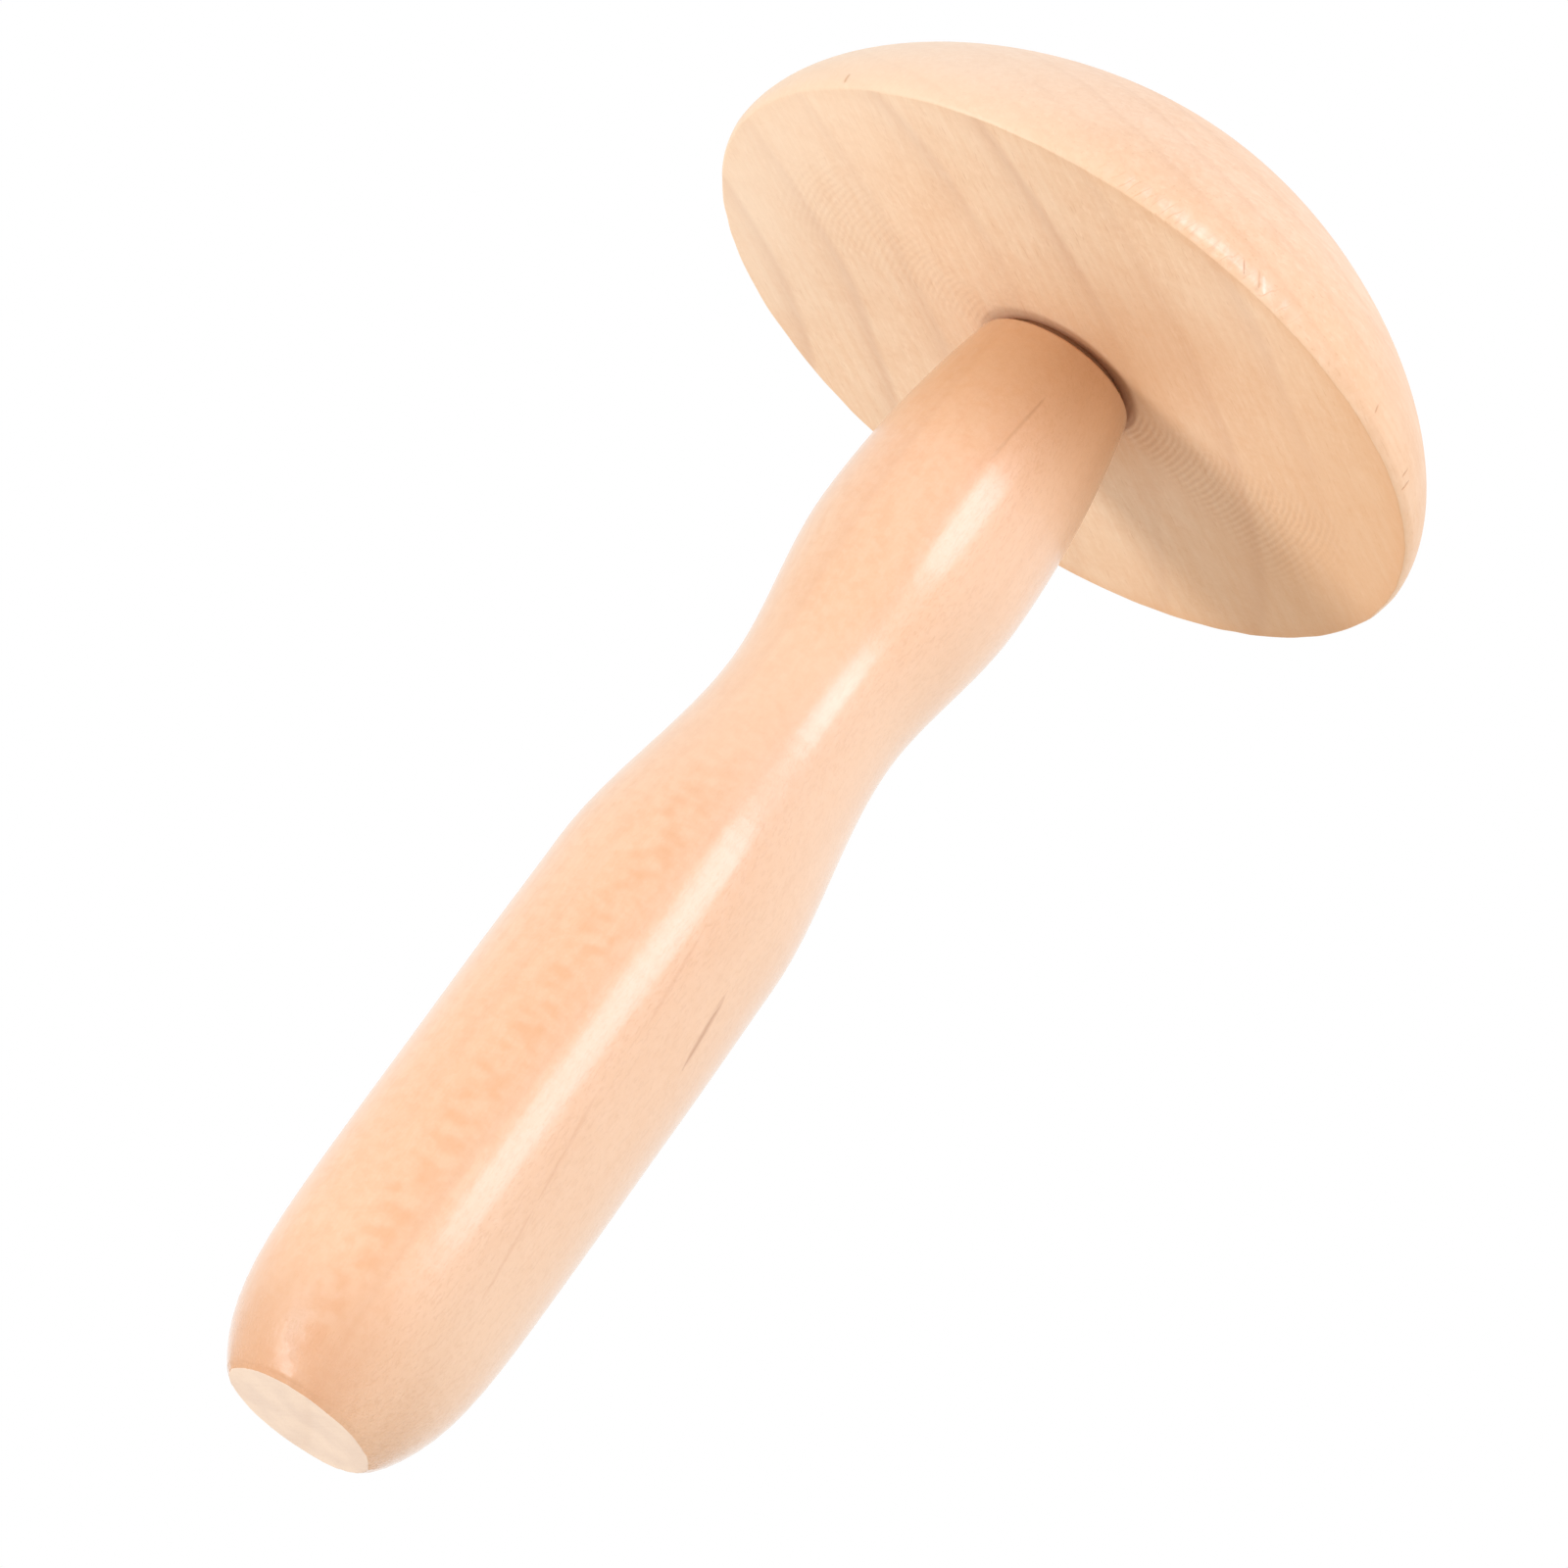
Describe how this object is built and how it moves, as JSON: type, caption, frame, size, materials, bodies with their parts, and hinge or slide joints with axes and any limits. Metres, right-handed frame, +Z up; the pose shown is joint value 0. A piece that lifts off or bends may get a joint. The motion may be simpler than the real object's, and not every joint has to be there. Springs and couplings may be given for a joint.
{
  "type": "darning mushroom",
  "caption": "Turned beech darning mushroom: domed solid cap with a flat underside, glued on the spigot of a swelling, waisted handle with a flat sawn foot.",
  "frame": {"origin": "centre of the flat sawn foot, on the surface it stands on", "axes": "+Z up the turning axis, from the foot to the crown of the cap; X and Y lie across it, in the plane of the foot"},
  "size_m": [0.07, 0.07, 0.1391],
  "materials": {
    "cap_wood": "satin clear lacquer on pale beech",
    "handle_wood": "satin clear lacquer on pale beech, the sawn foot bare",
    "dried_glue": "cured wood glue"
  },
  "bodies": {
    "root": {"cap": "cap_wood", "handle": "handle_wood", "glue_film": "dried_glue"}
  },
  "joints": []
}
